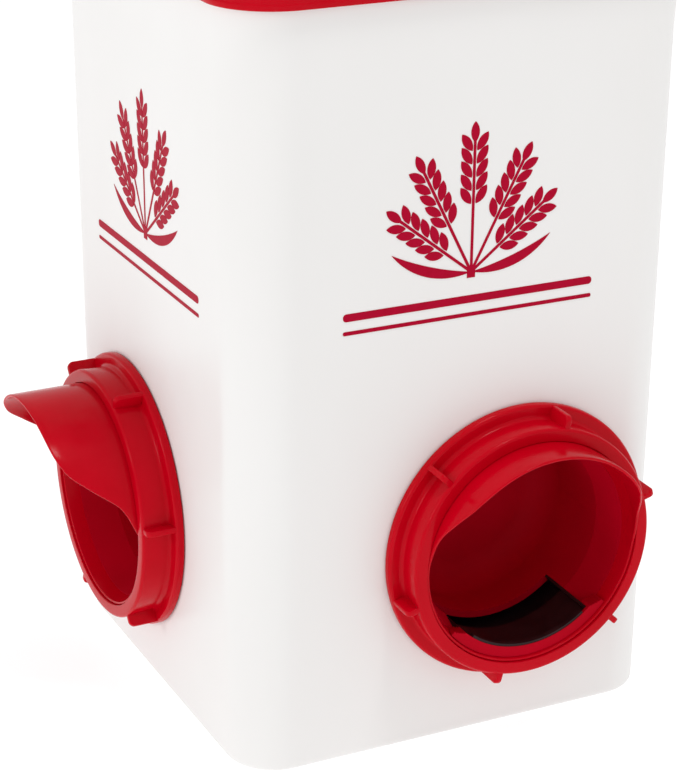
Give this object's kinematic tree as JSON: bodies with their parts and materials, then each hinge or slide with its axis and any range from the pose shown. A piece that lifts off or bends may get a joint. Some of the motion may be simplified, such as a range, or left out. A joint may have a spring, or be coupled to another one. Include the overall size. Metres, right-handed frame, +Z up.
{
  "type": "gravity port feeder",
  "caption": "Square gravity feeder for poultry: tapered canister with a snap lid, and hooded round feeding ports held in the walls by finned screw rings.",
  "frame": {"origin": "centre of the canister's flat underside, where it rests", "axes": "+Z up; -Y out of the front port's wall; -X out of the side port's wall"},
  "size_m": [0.309, 0.29, 0.414],
  "materials": {
    "white_plastic": "blow-moulded, satin gloss",
    "red_plastic": "injection-moulded, glossy",
    "black_plastic": "satin",
    "black_rubber": "matt",
    "red_print": "screen print, semi-gloss"
  },
  "bodies": {
    "canister_body": {"canister": "white_plastic", "front_port_body": "red_plastic", "front_wall_gasket": "black_rubber", "front_liner": "red_plastic", "front_feed_tray": "black_plastic", "front_grain_print": "red_print", "side_port_body": "red_plastic", "side_wall_gasket": "black_rubber", "side_liner": "red_plastic", "side_feed_tray": "black_plastic", "side_grain_print": "red_print"},
    "lid_body": {"lid": "red_plastic"},
    "front_washer_body": {"front_slip_washer": "black_rubber"},
    "front_ring_body": {"front_locking_ring": "red_plastic"},
    "side_washer_body": {"side_slip_washer": "black_rubber"},
    "side_ring_body": {"side_locking_ring": "red_plastic"}
  },
  "joints": [
    {"name": "lid_lift", "type": "slide", "parent": "canister_body", "child": "lid_body", "axis": [0, 0, 1], "range_m": [0, 0.12]},
    {"name": "front_ring_travel", "type": "slide", "parent": "canister_body", "child": "front_washer_body", "axis": [0, -1, -0.0063], "range_m": [0, 0.012]},
    {"name": "front_ring_turn", "type": "hinge", "parent": "front_washer_body", "child": "front_ring_body", "pos_m": [0.0305, -0.12067, 0.1068], "axis": [0, -1, -0.0063], "range_deg": [0, 540]},
    {"name": "side_ring_travel", "type": "slide", "parent": "canister_body", "child": "side_washer_body", "axis": [-1, 0, -0.0063], "range_m": [0, 0.012]},
    {"name": "side_ring_turn", "type": "hinge", "parent": "side_washer_body", "child": "side_ring_body", "pos_m": [-0.12064, 0.0305, 0.1022], "axis": [-1, 0, -0.0063], "range_deg": [0, 540]}
  ],
  "couplings": [
    {"joint": "front_ring_travel", "follows": "front_ring_turn", "m_per_rad": 0.0012732},
    {"joint": "side_ring_travel", "follows": "side_ring_turn", "m_per_rad": 0.0012732}
  ]
}
